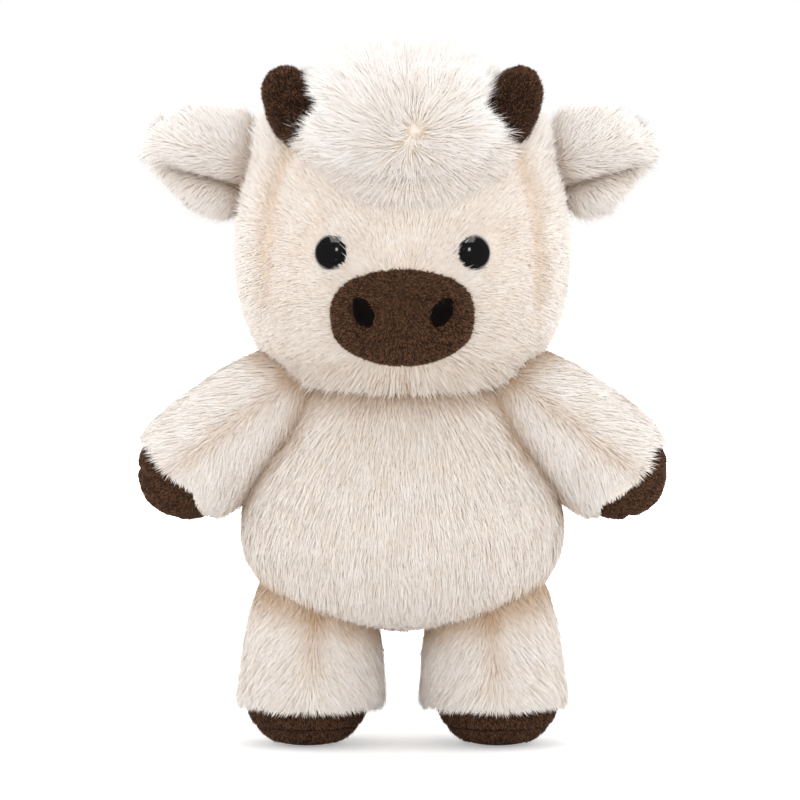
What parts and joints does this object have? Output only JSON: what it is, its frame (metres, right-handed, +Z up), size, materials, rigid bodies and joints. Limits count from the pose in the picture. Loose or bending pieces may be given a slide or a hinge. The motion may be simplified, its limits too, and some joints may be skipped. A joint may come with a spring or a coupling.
{
  "type": "plush cow",
  "caption": "Seated-or-standing plush cow in cream long pile with brown horns, nose and hooves, a turning head, lifting arms, folding legs, swinging ears and a tail.",
  "frame": {"origin": "on the floor, below the middle of the bounding box, between the two soles", "axes": "+Z up, the cow faces -Y, and its left side is +X"},
  "size_m": [0.2176, 0.1352, 0.288],
  "materials": {
    "cream_pile": "matte",
    "brown_pile": "matte",
    "nostril_cloth": "matte",
    "fibre_fill": "matte",
    "pellet_bag": "matte",
    "eye_plastic": "gloss",
    "washer_plastic": "satin"
  },
  "bodies": {
    "torso": {"torso_cover": "cream_pile", "torso_stuffing": "fibre_fill"},
    "head": {"head_cover": "cream_pile", "head_stuffing": "fibre_fill", "forelock": "cream_pile", "nose_pad": "brown_pile", "nostril_left": "nostril_cloth", "nostril_right": "nostril_cloth", "eye_left": "eye_plastic", "eye_right": "eye_plastic", "eye_washer_left": "washer_plastic", "eye_washer_right": "washer_plastic", "horn_left": "brown_pile", "horn_right": "brown_pile", "horn_stuffing_left": "fibre_fill", "horn_stuffing_right": "fibre_fill"},
    "ear_left": {"ear_left": "cream_pile", "ear_lining_left": "cream_pile"},
    "arm_left": {"arm_cover_left": "cream_pile", "arm_hoof_left": "brown_pile", "arm_stuffing_left": "fibre_fill"},
    "leg_left": {"leg_cover_left": "cream_pile", "leg_hoof_left": "brown_pile", "leg_sole_left": "brown_pile", "leg_stuffing_left": "fibre_fill", "foot_pellets_left": "pellet_bag"},
    "ear_right": {"ear_right": "cream_pile", "ear_lining_right": "cream_pile"},
    "arm_right": {"arm_cover_right": "cream_pile", "arm_hoof_right": "brown_pile", "arm_stuffing_right": "fibre_fill"},
    "leg_right": {"leg_cover_right": "cream_pile", "leg_hoof_right": "brown_pile", "leg_sole_right": "brown_pile", "leg_stuffing_right": "fibre_fill", "foot_pellets_right": "pellet_bag"},
    "tail": {"tail_cover": "cream_pile", "tail_tuft": "cream_pile"}
  },
  "joints": [
    {"name": "head_turn", "type": "hinge", "parent": "torso", "child": "head", "pos_m": [0, 0.0013, 0.1465], "axis": [0, 0, 1], "range_deg": [-25, 25], "stiffness_Nm_per_rad": 0.4},
    {"name": "arm_lift_left", "type": "hinge", "parent": "torso", "child": "arm_left", "pos_m": [0.05, -0.0027, 0.157], "axis": [0, -1, 0], "range_deg": [0, 40], "stiffness_Nm_per_rad": 0.02},
    {"name": "leg_fold_left", "type": "hinge", "parent": "torso", "child": "leg_left", "pos_m": [0.037, -0.0247, 0.066], "axis": [-1, 0, 0], "range_deg": [0, 75], "stiffness_Nm_per_rad": 0.03},
    {"name": "ear_swing_left", "type": "hinge", "parent": "head", "child": "ear_left", "pos_m": [0.06367, 0.0033, 0.23638], "axis": [0, 0, 1], "range_deg": [-30, 30], "stiffness_Nm_per_rad": 0.02},
    {"name": "arm_lift_right", "type": "hinge", "parent": "torso", "child": "arm_right", "pos_m": [-0.05, -0.0027, 0.157], "axis": [0, 1, 0], "range_deg": [0, 40], "stiffness_Nm_per_rad": 0.02},
    {"name": "leg_fold_right", "type": "hinge", "parent": "torso", "child": "leg_right", "pos_m": [-0.037, -0.0247, 0.066], "axis": [-1, 0, 0], "range_deg": [0, 75], "stiffness_Nm_per_rad": 0.03},
    {"name": "ear_swing_right", "type": "hinge", "parent": "head", "child": "ear_right", "pos_m": [-0.06367, 0.0033, 0.23638], "axis": [0, 0, -1], "range_deg": [-30, 30], "stiffness_Nm_per_rad": 0.02},
    {"name": "tail_lift", "type": "hinge", "parent": "torso", "child": "tail", "pos_m": [0, 0.05153, 0.098], "axis": [1, 0, 0], "range_deg": [0, 60]}
  ]
}
